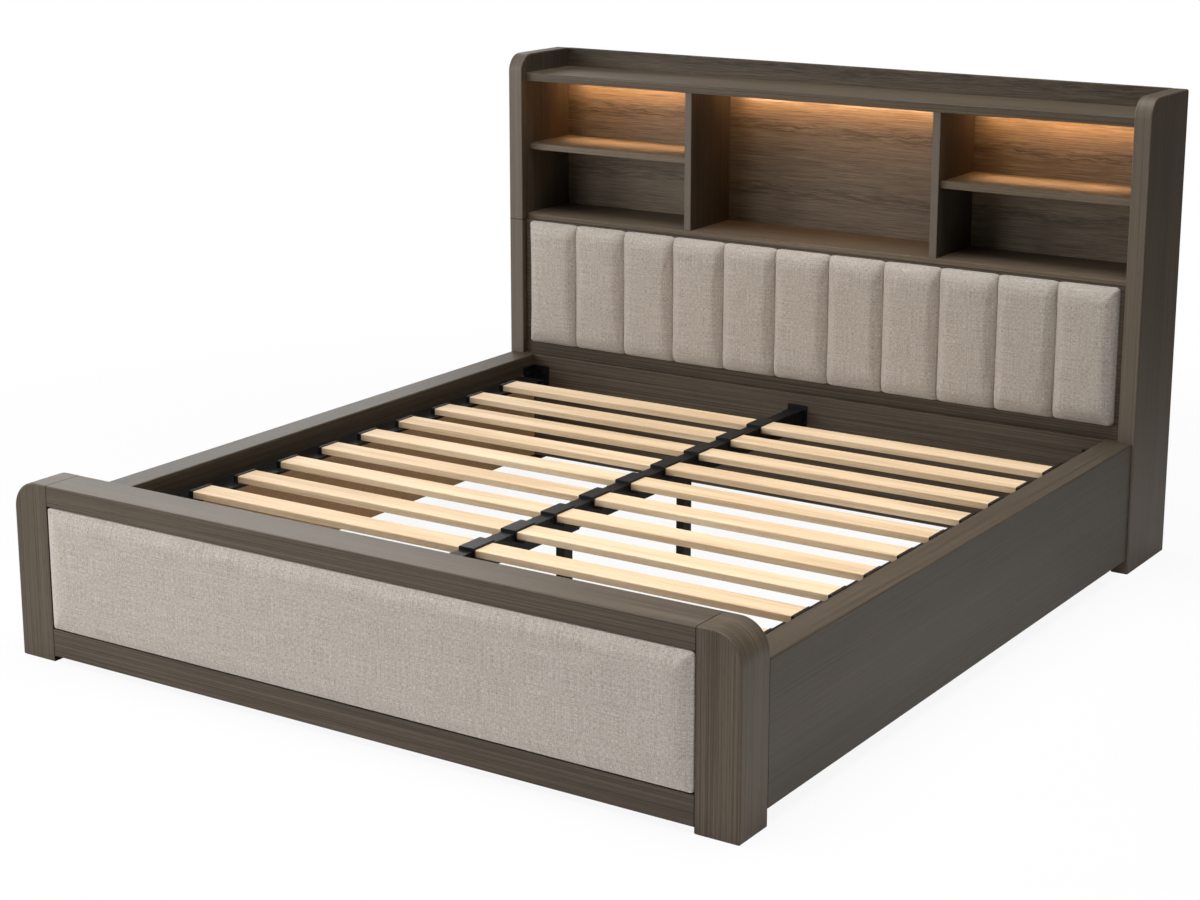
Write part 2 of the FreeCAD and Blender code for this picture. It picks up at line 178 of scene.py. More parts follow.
def grain_noise(tree, board, shift, along, across, detail, roughness=0.5):
    """Noise drawn out along the grain, by its changes in a metre along the grain and across it."""
    spot = vector_node(tree, "MULTIPLY_ADD", board, (along, across, across), shift)
    return noise(tree, spot, 1.0, detail, roughness)


def straight_board(tree, grain):
    """Coordinates of a flat board: along the grain, then across it both ways."""
    axes = split(tree, position(tree))
    order = [grain] + [axis for axis in range(3) if axis != grain]
    return join(tree, *[axes[axis] for axis in order])


def softened_arrises(tree, radius):
    """A softened normal and a mask that is one on the arrises and nought on the flats."""
    soft = add(tree, "ShaderNodeBevel", {"Radius": radius}, samples=4).outputs[0]
    flat = add(tree, "ShaderNodeNewGeometry", {}).outputs["Normal"]
    agree = add(tree, "ShaderNodeVectorMath", {0: soft, 1: flat}, operation="DOT_PRODUCT").outputs["Value"]
    return soft, rescale(tree, agree, 0.995, 0.85)


def emboss(tree, height, strength, depth, normal=None):
    """The normal of a surface with a fine texture pressed into it."""
    inputs = {"Strength": strength, "Distance": depth, "Height": height}
    if normal is not None:
        inputs["Normal"] = normal
    return add(tree, "ShaderNodeBump", inputs).outputs[0]


def figured_bands(tree, board, shift, spacing):
    """Ripples the grain in level bands, and gives a mask that is one along the middle of each band."""
    first_band = -0.87
    wander = 2.2
    ripple_height = 0.016
    drift = grain_noise(tree, board, shift, along=1.3, across=3.0, detail=1.0)
    turn = math_node(tree, "MULTIPLY_ADD", split(tree, board)[2], math.tau / spacing, first_band)
    turn = math_node(tree, "MULTIPLY_ADD", drift, wander, turn)
    crest = rescale(tree, math_node(tree, "COSINE", turn), 0.60, 1.0)
    waves = grain_noise(tree, board, shift, along=24.0, across=42.0, detail=2.0)
    ripple = math_node(tree, "MULTIPLY", math_node(tree, "MULTIPLY", waves, ripple_height), crest)
    return vector_node(tree, "ADD", board, join(tree, 0.0, 0.0, ripple)), crest


def finish_veneer(tree, shader, board, figure, light):
    """Lays the streaks, figure, pores, arrises and lacquer of the veneer on a board; the arrises are
    lightened partly as rubbed wear, partly as a painted highlight.
    """
    dark_brown = (0.048, 0.0345, 0.0223)
    brown = (0.093, 0.0700, 0.0472)
    pale_brown = (0.138, 0.1075, 0.0760)
    rubbed_and_highlit_brown = (0.20, 0.165, 0.13, 1.0)
    arris = 0.0022
    shift = board_shift(tree)
    shortness = 1.0
    if figure:
        shortness = 5.0
        board, crest = figured_bands(tree, board, shift, figure)
    broad = grain_noise(tree, board, shift, along=0.7, across=9.0, detail=2.0)
    streak = grain_noise(tree, board, shift, along=1.1 * shortness, across=360.0, detail=3.0, roughness=0.6)
    lines = grain_noise(tree, board, shift, along=2.2 * shortness, across=700.0, detail=2.0, roughness=0.55)
    pores = grain_noise(tree, board, shift, along=26.0, across=950.0, detail=1.0)
    tone = mixture(tree, (streak, 0.52), (broad, 0.16), (lines, 0.32))
    stops = ((0.39, dark_brown), (0.50, brown), (0.61, pale_brown))
    # light scales every colour of the veneer: painted light and shade for how much light the board gets,
    # and partly real differences between veneers.
    colour = ramp(tree, tone, *[(place, [light * part for part in tint]) for place, tint in stops])
    open_pores = rescale(tree, pores, 0.58, 0.70, 1.0, 0.70)
    thin_lines = rescale(tree, lines, 0.55, 0.68, 1.0, 0.74)
    dark = math_node(tree, "MULTIPLY", open_pores, thin_lines)
    if figure:
        tongues = grain_noise(tree, board, shift, along=15.0, across=230.0, detail=2.0, roughness=0.6)
        flame = rescale(tree, tongues, 0.44, 0.60, -0.06, -0.46)
        dark = math_node(tree, "MULTIPLY", dark, math_node(tree, "MULTIPLY_ADD", crest, flame, 1.0))
    colour = vector_node(tree, "MULTIPLY", colour, dark)
    soft, edge = softened_arrises(tree, arris)
    # Lighter arrises: partly rubbed wear, partly a painted highlight where the edges catch the light.
    rub_and_highlight = math_node(tree, "MULTIPLY", math_node(tree, "MULTIPLY", edge, broad), 0.3)
    height = mixture(tree, (streak, 0.6), (dark, 0.7))
    feed(tree, shader, {"Base Color": lay_over(tree, rub_and_highlight, colour, rubbed_and_highlit_brown),
                        "Roughness": rescale(tree, streak, 0.35, 0.65, 0.42, 0.55),
                        "Specular IOR Level": 0.28,
                        "Normal": emboss(tree, height, 0.3, 0.0004, soft)})


def veneer(name, grain, figure=0.0, light=1.0):
    """Dark veneer on flat boards, plain or with figured bands at a spacing."""
    material, tree, shader = start_material(name)
    finish_veneer(tree, shader, straight_board(tree, grain), figure, light)
    return material


def dress(material, *names):
    """Gives CAD nodes their finish."""
    for name in names:
        mesh = nodes[name].data
        mesh.materials.clear()
        mesh.materials.append(material)


def coat(material):
    """The surface shader of a finish and the colour that it has so far."""
    shader = next(node for node in material.node_tree.nodes if node.type == "BSDF_PRINCIPLED")
    return shader, shader.inputs["Base Color"].links[0].from_socket


def shade(material, mask, colour):
    """Lays another colour over a finish where a mask is one."""
    tree = material.node_tree
    shader, under = coat(material)
    feed(tree, shader, {"Base Color": lay_over(tree, mask, under, colour)})


def bare_inside(material, below):
    """Leaves the inner side of a rail bare brown fibreboard under the slats."""
    tree = material.node_tree
    point = position(tree)
    x, _, z = split(tree, point)
    inner = math_node(tree, "LESS_THAN", math_node(tree, "MULTIPLY", facing(tree)[across_bed], x), -0.5)
    under = math_node(tree, "MULTIPLY", inner, math_node(tree, "LESS_THAN", z, below))
    fibres = noise(tree, point, 210.0, 5.0)
    shade(material, under, ramp(tree, fibres, (0.3, (0.40, 0.230, 0.110)), (0.7, (0.56, 0.350, 0.180))))


# light=0.76 darkens the rails' veneer as painted shade.
rail_veneer = veneer("veneer_lengthwise", along_bed, light=0.76)
bare_inside(rail_veneer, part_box("left_slat_ledge")[1].z)
dress(rail_veneer, "left_side_rail", "right_side_rail")


# Footboard frame: two solid-looking posts with a large round at the top, and two cross rails let in flush
# between them. The posts are wrapped: the veneer on their outer sides follows the round over the top.

def wrapped_board(tree, face, round_axis):
    """Coordinates of an upright board whose edge veneer bends over a rounded end."""
    axes = split(tree, position(tree))
    turned = axes[round_axis]
    if round_axis == across_bed:
        turned = math_node(tree, "MULTIPLY", math_node(tree, "ABSOLUTE", turned), -1.0)
    over = math_node(tree, "ADD", axes[upwards], turned)
    plain = join(tree, axes[upwards], axes[round_axis])
    bent = join(tree, over, axes[face])
    is_face = math_node(tree, "GREATER_THAN", math_node(tree, "ABSOLUTE", facing(tree)[face]), 0.7)
    return add(tree, "ShaderNodeMix", {0: is_face, 4: bent, 5: plain}, data_type="VECTOR").outputs[1]


def wrapped_veneer(name, face, round_axis, light):
    """Dark veneer on an upright with a rounded end."""
    material, tree, shader = start_material(name)
    finish_veneer(tree, shader, wrapped_board(tree, face, round_axis), 0.0, light)
    return material


def glue_line_and_gap_shade(material, axis, place, half_width):
    """Darkens the line where two boards meet: partly a glue line, partly painted shade of the gap."""
    tree = material.node_tree
    off_middle = math_node(tree, "ABSOLUTE", split(tree, position(tree))[axis])
    line = math_node(tree, "COMPARE", off_middle, place, half_width)
    shade(material, math_node(tree, "MULTIPLY", line, 0.85), (0.008, 0.006, 0.005, 1.0))


# light=1.1 lightens the posts' veneer as painted light.
post_veneer = wrapped_veneer("veneer_posts", along_bed, across_bed, light=1.1)
foot_veneer = veneer("veneer_foot_rails", across_bed)
post_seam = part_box("footboard_right_post")[0].x
# The dark line at the post joints is partly glue, partly painted shade of the gap.
for material in (post_veneer, foot_veneer):
    glue_line_and_gap_shade(material, across_bed, post_seam, half_width=0.0016)
dress(post_veneer, "footboard_left_post", "footboard_right_post")
dress(foot_veneer, "footboard_top_rail", "footboard_bottom_rail")


# Backing boards: thin fibreboard behind the foot pad and across the backs of the footboard and the lower
# headboard, painted dark grey-brown and left with the faint mottle of pressed fibres.

def backing_board():
    """Painted fibreboard."""
    material, tree, shader = start_material("backing_board")
    point = position(tree)
    fibres = noise(tree, point, 260.0, 5.0)
    cloud = noise(tree, point, 6.0, 3.0)
    tone = mixture(tree, (fibres, 0.5), (cloud, 0.5))
    colour = ramp(tree, tone, (0.36, (0.050, 0.042, 0.035)), (0.64, (0.086, 0.074, 0.063)))
    feed(tree, shader, {"Base Color": colour, "Roughness": 0.7,
                        "Normal": emboss(tree, fibres, 0.25, 0.0003)})
    return material


dress(backing_board(), "footboard_pad_board", "footboard_back_panel", "lower_back_panel")


# Footboard pad: foam on a board, covered with one plain piece of oatmeal linen pulled over the edges and
# stapled behind. The cover stands straight up out of the frame's opening, rolls over and crowns a little.

def linen():
    """A slubby plain weave in oatmeal yarns; the threads follow the cut of the cloth."""
    material, tree, shader = start_material("linen")
    cloth = add(tree, "ShaderNodeTexCoord", {}).outputs["UV"]
    thread_turns = 4800.0

    def yarns(across, up, detail):
        spot = vector_node(tree, "MULTIPLY", cloth, (across, up, 1.0))
        return noise(tree, spot, 1.0, detail, 0.55)

    warp = yarns(900.0, 110.0, 1.0)
    weft = yarns(104.0, 930.0, 1.0)
    slubs = math_node(tree, "ADD", yarns(460.0, 11.0, 0.0), yarns(10.0, 480.0, 0.0))
    cloud = yarns(6.0, 6.0, 1.0)
    tone = mixture(tree, (weft, 0.37), (warp, 0.37), (slubs, 0.12), (cloud, 0.02))
    colour = ramp(tree, tone, (0.37, (0.295, 0.256, 0.219)), (0.50, (0.494, 0.441, 0.390)),
                  (0.63, (0.693, 0.640, 0.586)))
    across, up, _ = split(tree, cloth)
    over = math_node(tree, "SINE", math_node(tree, "MULTIPLY", across, thread_turns))
    under = math_node(tree, "SINE", math_node(tree, "MULTIPLY", up, thread_turns))
    weave = math_node(tree, "MULTIPLY_ADD", math_node(tree, "MULTIPLY", over, under), 0.12, tone)
    feed(tree, shader, {"Base Color": colour, "Roughness": 0.95, "Specular IOR Level": 0.2,
                        "Sheen Weight": 0.18, "Sheen Roughness": 0.45,
                        "Normal": emboss(tree, weave, 0.35, 0.0006)})
    return material


def spread(low, high, roll, step):
    """Places across a pad, close together over the rolled edges and evenly spaced between."""
    turn = np.linspace(0.0, math.pi / 2, 9)[:-1]
    edge = roll * (1.0 - np.cos(turn))
    count = max(2, round((high - low - 2 * roll) / step))
    middle = np.linspace(low + roll, high - roll, count + 1)
    return np.concatenate([low + edge, middle, (high - edge)[::-1]])


def rounded(columns, rows, corner):
    """The places of a pad's cover seen from the front, with rounded corners, and how far in from
    the edge each one is."""
    x, z = np.meshgrid(columns, rows)
    middle_x, middle_z = (columns[0] + columns[-1]) / 2, (rows[0] + rows[-1]) / 2
    straight_x, straight_z = columns[-1] - middle_x - corner, rows[-1] - middle_z - corner
    side_x, side_z = np.sign(x - middle_x), np.sign(z - middle_z)
    past_x = np.abs(x - middle_x) - straight_x
    past_z = np.abs(z - middle_z) - straight_z
    at_corner = (past_x > 0) & (past_z > 0)
    longer = np.maximum(np.maximum(past_x, past_z), 1e-9)
    turn = math.pi / 4 * np.minimum(past_x, past_z) / longer
    turn = np.where(past_x >= past_z, turn, math.pi / 2 - turn)
    x = np.where(at_corner, middle_x + side_x * (straight_x + longer * np.cos(turn)), x)
    z = np.where(at_corner, middle_z + side_z * (straight_z + longer * np.sin(turn)), z)
    past_x = np.abs(x - middle_x) - straight_x
    past_z = np.abs(z - middle_z) - straight_z
    outside = np.hypot(np.maximum(past_x, 0), np.maximum(past_z, 0))
    outside = outside + np.minimum(np.maximum(past_x, past_z), 0)
    return x, z, np.maximum(corner - outside, 0.0)


def rolled(inset, roll):
    """How full a rolled edge is at a distance in from the edge."""
    return np.sqrt(1.0 - (1.0 - np.clip(inset / roll, 0.0, 1.0)) ** 2)


def link(name, content):
    """Puts a new mesh or lamp into the scene."""
    piece = bpy.data.objects.new(name, content)
    bpy.context.scene.collection.objects.link(piece)
    return piece


def cover(name, x, y, z):
    """A sheet of cloth over a grid of places, with its threads laid flat on it."""
    tall, wide = x.shape
    index = np.arange(tall * wide).reshape(tall, wide)
    quads = np.stack([index[:-1, :-1], index[:-1, 1:], index[1:, 1:], index[1:, :-1]], axis=-1)
    quads = quads.reshape(-1, 4)
    points = np.stack([x, y, z], axis=-1)
    mesh = bpy.data.meshes.new(name)
    mesh.from_pydata(points.reshape(-1, 3).tolist(), [], quads.tolist())
    along = np.zeros_like(x)
    along[:, 1:] = np.cumsum(np.linalg.norm(np.diff(points, axis=1), axis=2), axis=1)
    up = np.zeros_like(x)
    up[1:, :] = np.cumsum(np.linalg.norm(np.diff(points, axis=0), axis=2), axis=0)
    flat = np.stack([along - along[:, wide // 2, None], up - up[tall // 2]], axis=-1)
    threads = mesh.uv_layers.new(name="threads")
    threads.data.foreach_set("uv", flat.reshape(-1, 2)[quads.ravel()].ravel())
    mesh.polygons.foreach_set("use_smooth", [True] * len(quads))
    rim = np.concatenate([index[0], index[-1], index[:, 0], index[:, -1]])
    return link(name, mesh), index, rim


def places(mesh):
    """The vertices of a mesh as rows of x, y, z."""
    flat = np.empty(len(mesh.vertices) * 3)
    mesh.vertices.foreach_get("co", flat)
    return flat.reshape(-1, 3)


def settle(piece, sewn, pressure, slack, limit):
    """Lets the foam push the cover out between the places where it is sewn or stapled."""
    last_frame = 20
    start = places(piece.data)
    group = piece.vertex_groups.new(name="sewn")
    group.add([int(i) for i in np.unique(sewn)], 1.0, "REPLACE")
    modifier = piece.modifiers.new("cover", "CLOTH")
    fabric = modifier.settings
    fabric.quality = 6
    fabric.mass = 0.3
    fabric.tension_stiffness = 20.0
    fabric.compression_stiffness = 20.0
    fabric.shear_stiffness = 8.0
    fabric.bending_stiffness = 1.5
    fabric.vertex_group_mass = "sewn"
    fabric.use_pressure = True
    fabric.uniform_pressure_force = pressure
    fabric.shrink_min = -slack
    fabric.effector_weights.gravity = 0.0
    modifier.collision_settings.use_collision = False
    modifier.point_cache.frame_start = 1
    modifier.point_cache.frame_end = last_frame
    scene = bpy.context.scene
    for number in range(1, last_frame + 1):
        scene.frame_set(number)
    shown = piece.evaluated_get(bpy.context.evaluated_depsgraph_get())
    moved = places(shown.data) - start
    piece.modifiers.remove(modifier)
    scene.frame_set(1)
    far = np.linalg.norm(moved, axis=1, keepdims=True)
    moved *= np.minimum(1.0, limit / np.maximum(far, 1e-9))
    piece.data.vertices.foreach_set("co", (start + moved).ravel())
    piece.data.update()
    piece.vertex_groups.clear()


def close_cover(piece, front_y):
    """Smooths the cover once, keeps it behind its front line and closes it against the board."""
    smooth = piece.modifiers.new("smooth", "SUBSURF")
    smooth.levels = 1
    smooth.boundary_smooth = "PRESERVE_CORNERS"
    shown = piece.evaluated_get(bpy.context.evaluated_depsgraph_get())
    mesh = bpy.data.meshes.new_from_object(shown)
    piece.modifiers.clear()
    piece.data = mesh
    points = places(mesh)
    points[:, 1] = np.maximum(points[:, 1], front_y)
    mesh.vertices.foreach_set("co", points.ravel())
    shape = bmesh.new()
    shape.from_mesh(mesh)
    bmesh.ops.holes_fill(shape, edges=[e for e in shape.edges if e.is_boundary], sides=0)
    bmesh.ops.recalc_face_normals(shape, faces=shape.faces)
    shape.to_mesh(mesh)
    shape.free()
    mesh.update()


linen_cover = linen()
low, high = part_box("footboard_pad")
frame_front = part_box("footboard_top_rail")[0].y
roll = 0.042
corner = 0.010
sunk_edge = 0.001
crown = 0.012
front_limit = 0.013
columns = spread(low.x, high.x, roll, step=0.011)
rows = spread(low.z, high.z, roll, step=0.009)
x, z, inset = rounded(columns, rows, corner)
straight = np.where(inset > 1e-5, high.y - frame_front - sunk_edge, 0.0)
swell = np.sin(np.clip(inset / roll, 0.0, 1.0) * math.pi / 2)
bulge = straight + (frame_front - low.y + crown) * swell
foot_cover, index, rim = cover("footboard_linen", x, high.y - bulge, z)
inner = index[1:-1, 1:-1]
tucked = np.concatenate([inner[0], inner[-1], inner[:, 0], inner[:, -1]])
settle(foot_cover, np.concatenate([rim, tucked]), pressure=0.6, slack=0.0, limit=0.0012)
close_cover(foot_cover, low.y - front_limit)
foot_cover.data.materials.append(linen_cover)
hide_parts("footboard_pad")
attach(foot_cover, "bed_frame")


# Headboard case: two uprights with a rounded front top corner, a top shelf with a lip behind it, a floor,
# two dividers and two mid shelves, housed into the uprights and screwed through the back panel. Front edges
# are banded with a paler veneer and painted paler still on their forward faces as painted light, the left
# upright most; the back panel is figured, and painted paler inside the bays as painted light.

def front_band_and_painted_light(material, share):
    """Makes the forward faces of a board paler than its sides: partly a paler edge banding, partly painted
    light on the front.
    """
    tree = material.node_tree
    ahead = math_node(tree, "MULTIPLY", facing(tree)[along_bed], -share)
    shade(material, math_node(tree, "MAXIMUM", ahead, 0.0), (0.34, 0.29, 0.245, 1.0))


def painted_light_in_bays(material, top, painted_gain):
    """Paints light into the bays: the forward faces under the top shelf are made paler than the lip and the
    rear of the panel.
    """
    tree = material.node_tree
    shader, plain = coat(material)
    under = math_node(tree, "LESS_THAN", split(tree, position(tree))[upwards], top)
    ahead = math_node(tree, "LESS_THAN", facing(tree)[along_bed], -0.5)
    gain = rescale(tree, math_node(tree, "MULTIPLY", under, ahead), 0.0, 1.0, 1.0, painted_gain)
    feed(tree, shader, {"Base Color": vector_node(tree, "MULTIPLY", plain, gain)})


# The forward faces are painted paler on the left upright than on the right: painted light from the lamps at
# the left.
for side, share in (("left", 0.26), ("right", 0.20)):
    # light=1.12 lightens the uprights' veneer as painted light.
    upright_veneer = wrapped_veneer("veneer_%s_upright" % side, across_bed, along_bed, light=1.12)
    front_band_and_painted_light(upright_veneer, share)
    if side == "left":
        # A dark line painted across the left upright at the bookcase floor: partly a joint, partly painted
        # shade in it.
        glue_line_and_gap_shade(upright_veneer, upwards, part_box("bookcase_floor")[0].z, half_width=0.0013)
    dress(upright_veneer, "headboard_%s_upright" % side)
# These light factors paint light and shade into the boards: end rail and pad board 0.86, top shelf 1.12,
# the shelves in the lit bays 1.72, dividers 0.74.
dress(veneer("veneer_crosswise", across_bed, light=0.86), "head_end_rail", "headboard_pad_board")
dress(veneer("veneer_top_shelf", across_bed, light=1.12), "headboard_top_shelf")
dress(veneer("veneer_shelves", across_bed, light=1.72),
      "bookcase_floor", "bookcase_left_shelf", "bookcase_right_shelf")
divider_veneer = veneer("veneer_upright_grain", upwards, light=0.74)
# The dividers' front edges are painted paler: partly banding, partly painted light.
front_band_and_painted_light(divider_veneer, 0.34)
dress(divider_veneer, "bookcase_left_divider", "bookcase_right_divider")
# The figured panel's light=1.32 and its 1.6 times paler bays are painted light in the bays.
panel_veneer = veneer("veneer_figured", across_bed, figure=0.191, light=1.32)
painted_light_in_bays(panel_veneer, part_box("headboard_top_shelf")[0].z, painted_gain=1.6)
dress(panel_veneer, "bookcase_back_panel")


# Headboard pad: eleven upright channels of the same linen over foam, sewn down to the board between them.
# The cover swells between its seams and dips a little at the top and bottom of each one.

low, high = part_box("headboard_pad")
channel_count = 11
roll = 0.044
corner = 0.012
groove = 0.034
groove_depth = 0.019
belly = 0.003
dip_depth = 0.005
dip_width = 0.026
stitch_drift = 0.0003
front_play = 0.001
front_limit = 0.003
pitch = (high.x - low.x) / channel_count
channel = spread(0.0, pitch, groove, step=0.013)[:-1]
columns = np.concatenate([low.x + pitch * i + channel for i in range(channel_count)] + [[high.x]])
rows = spread(low.z, high.z, roll, step=0.009)
x, z, inset = rounded(columns, rows, corner)
seams = low.x + pitch * np.arange(1, channel_count)
off_seam = np.abs(columns[:, None] - seams[None, :]).min(axis=1)
is_seam = off_seam < 1e-6
off_middle = np.abs((columns - low.x) / pitch % 1.0 - 0.5) * 2.0
middle_z = (low.z + high.z) / 2
dip = dip_depth * (1.0 - rolled(off_seam, dip_width))[None, :]
z = z - np.sign(z - middle_z) * dip * np.abs((z - middle_z) / (high.z - middle_z)) ** 6
hollow = groove_depth * (1.0 - rolled(off_seam, groove)) + belly * off_middle ** 2
thickness = (high.y - low.y - front_play) - hollow[None, :]
y = high.y - thickness * rolled(inset, roll)
chance = np.random.default_rng(11)
wander = np.cumsum(chance.normal(0.0, stitch_drift, x.shape), axis=0)
wander = wander - wander.mean(axis=0)
x[:, is_seam] += wander[:, is_seam] * rolled(inset, roll)[:, is_seam]
head_cover, index, rim = cover("headboard_linen", x, y, z)
sewn = np.concatenate([rim, index[:, is_seam].ravel()])
stitched = set(index[:, is_seam].ravel().tolist())
crease = head_cover.data.attributes.new("crease_edge", "FLOAT", "EDGE")
for edge in head_cover.data.edges:
    if stitched.issuperset(edge.vertices):
        crease.data[edge.index].value = 1.0
        edge.use_edge_sharp = True
settle(head_cover, sewn, pressure=3.0, slack=0.003, limit=0.003)
close_cover(head_cover, low.y - front_limit)
head_cover.data.materials.append(linen_cover)
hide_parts("headboard_pad")
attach(head_cover, "bed_frame")


# Shelf lights: warm tape in an aluminium channel under the top shelf of each upper bay, closed by an opal
# strip, and the driver on the inside of the lower back panel. The strips light the bay's back and shelf,
# and their ends light its sides.

def brushed_metal(name, light, dark, roughness):
    """Drawn aluminium with faint lines along its length."""
    material, tree, shader = start_material(name)
    board = straight_board(tree, across_bed)
    lines = grain_noise(tree, board, board_shift(tree), along=4.0, across=900.0, detail=2.0)
    feed(tree, shader, {"Base Color": ramp(tree, lines, (0.35, dark), (0.65, light)),
                        "Metallic": 1.0, "Roughness": roughness,
                        "Normal": emboss(tree, lines, 0.2, 0.0002)})
    return material


def glowing(name, colour, glow, strength):
    """Plastic lit from behind, a little uneven along its length."""
    material, tree, shader = start_material(name)
    uneven = noise(tree, position(tree), 60.0, 1.0)
    level = rescale(tree, uneven, 0.3, 0.7, strength * 0.85, strength * 1.15)
    feed(tree, shader, {"Base Color": (*colour, 1.0), "Roughness": 0.5,
                        "Emission Color": (*glow, 1.0), "Emission Strength": level})
    return material


def strip_light(name, tilt, opening, power, colour):
    """A line of light just under a channel, turned to the back panel or to the shelf below. Its power is
    for each metre."""
    low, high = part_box(name)
    strip = bpy.data.lights.new(name + "_light", "AREA")
    strip.shape = "RECTANGLE"
    strip.size = high.x - low.x
    strip.size_y = 0.004
    strip.color = colour
    strip.energy = power * strip.size
    strip.spread = math.radians(opening)
    lamp = link(name + "_light", strip)
    lamp.location = ((low.x + high.x) / 2, (low.y + high.y) / 2, low.z - 0.0025)
    lamp.rotation_euler = (math.radians(tilt), 0.0, 0.0)


def end_light(name, side, power):
    """Light from the end of a diffuser on the side of its bay."""
    low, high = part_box(name)
    glow = bpy.data.lights.new(name + "_end", "AREA")
    glow.size = 0.010
    glow.color = warm
    glow.energy = power
    lamp = link(name + "_end", glow)
    lamp.location = (low.x if side < 0 else high.x, (low.y + high.y) / 2, low.z - 0.004)
    lamp.rotation_euler = (math.radians(62.0), 0.0, math.radians(-side * 48.0))


channels = ("led_channel_left", "led_channel_centre", "led_channel_right")
warm = (1.0, 0.56, 0.245)
amber = (1.0, 0.64, 0.38)
soft_white = (1.0, 0.93, 0.84)
dress(brushed_metal("led_aluminium", (0.62, 0.62, 0.63), (0.42, 0.42, 0.43), 0.38), *channels)
dress(glowing("opal_plastic", (0.85, 0.82, 0.76), warm, 4.0), "led_diffusers")
dress(glowing("led_tape", (0.80, 0.78, 0.72), warm, 1.0), "led_tapes")
for name in channels:
    strip_light(name, tilt=56.0, opening=180.0, power=1.30, colour=warm)
    end_light(name, -1, power=0.06)
    end_light(name, 1, power=0.06)
left_bay, centre_bay, right_bay = channels
strip_light(centre_bay, tilt=72.0, opening=40.0, power=0.19, colour=soft_white)
for name in (left_bay, right_bay):
    strip_light(name, tilt=-12.0, opening=56.0, power=1.15, colour=amber)


# Slat base, black steel: an angle along each side rail, the centre beam of square tube in its two end
# brackets, pressed angles in the corners and the tube legs, all powder coated with a fine texture.

def powder_coat():
    """Black textured powder coating."""
    material, tree, shader = start_material("black_steel")
    point = position(tree)
    grains = noise(tree, point, 900.0, 2.0)
    cloud = noise(tree, point, 9.0, 3.0)
    soft, edge = softened_arrises(tree, 0.0012)
    tone = math_node(tree, "MULTIPLY_ADD", edge, 0.25, cloud)
    colour = ramp(tree, tone, (0.35, (0.0040, 0.0039, 0.0039)), (0.65, (0.0075, 0.0073, 0.0073)),
                  (0.95, (0.022, 0.021, 0.021)))
    feed(tree, shader, {"Base Color": colour, "Roughness": rescale(tree, cloud, 0.3, 0.7, 0.42, 0.55),
                        "Specular IOR Level": 0.2,
                        "Normal": emboss(tree, grains, 0.35, 0.0003, soft)})
    return material


black_steel = powder_coat()
dress(black_steel, "left_slat_ledge", "right_slat_ledge", "centre_beam", "beam_brackets", "corner_brackets",
      "front_centre_leg", "rear_centre_leg")


# Slat caps and stops, levelling feet, cord bush and driver case: mouldings in black and grey plastic with
# the fine spark-eroded texture of their tools.

def moulding(name, dark, light, roughness):
    """Injection-moulded plastic."""
    material, tree, shader = start_material(name)
    point = position(tree)
    grains = noise(tree, point, 1400.0, 1.0)
    cloud = noise(tree, point, 14.0, 2.0)
    soft, _ = softened_arrises(tree, 0.0009)
    feed(tree, shader, {"Base Color": ramp(tree, cloud, (0.35, dark), (0.65, light)),
                        "Roughness": roughness, "Specular IOR Level": 0.3,
                        "Normal": emboss(tree, grains, 0.25, 0.0002, soft)})
    return material


dress(moulding("black_plastic", (0.0045, 0.0044, 0.0045), (0.0085, 0.0083, 0.0083), 0.5),
      "slat_caps", "slat_stops", "front_levelling_foot", "rear_levelling_foot", "cord_grommet")
dress(moulding("driver_case", (0.42, 0.42, 0.41), (0.50, 0.50, 0.49), 0.55), "led_driver")


# Slats: planed pale birch boards in ten rows, split at the middle, each dropped into a cap on the beam and
# against a stop on the ledge. No two boards are quite the same colour.

def birch():
    """Planed birch, oiled thinly."""
    material, tree, shader = start_material("slat_wood")
    board = straight_board(tree, across_bed)
    shift = board_shift(tree)
    broad = grain_noise(tree, board, shift, along=1.6, across=22.0, detail=2.0)
    streak = grain_noise(tree, board, shift, along=4.0, across=170.0, detail=3.0, roughness=0.6)
    flecks = grain_noise(tree, board, shift, along=60.0, across=700.0, detail=1.0)
    own = add(tree, "ShaderNodeObjectInfo", {}).outputs["Random"]
    tone = mixture(tree, (streak, 0.5), (broad, 0.5), (own, 0.10))
    colour = ramp(tree, tone, (0.42, (0.590, 0.420, 0.253)), (0.55, (0.705, 0.523, 0.333)),
                  (0.70, (0.780, 0.610, 0.415)))
    short_lines = rescale(tree, flecks, 0.60, 0.75, 1.0, 0.84)
    soft, _ = softened_arrises(tree, 0.0015)
    feed(tree, shader, {"Base Color": vector_node(tree, "MULTIPLY", colour, short_lines),
                        "Roughness": 0.6, "Specular IOR Level": 0.35,
                        "Normal": emboss(tree, streak, 0.2, 0.0003, soft)})
    return material


dress(birch(), *[name for name in nodes if name.startswith(("slat_left", "slat_right"))])


# Screws: black pan-head screws through the corner angles, beam brackets, ledges and leg plates, and flush
# ones round the back panels. The heads are turned parts with a round socket.

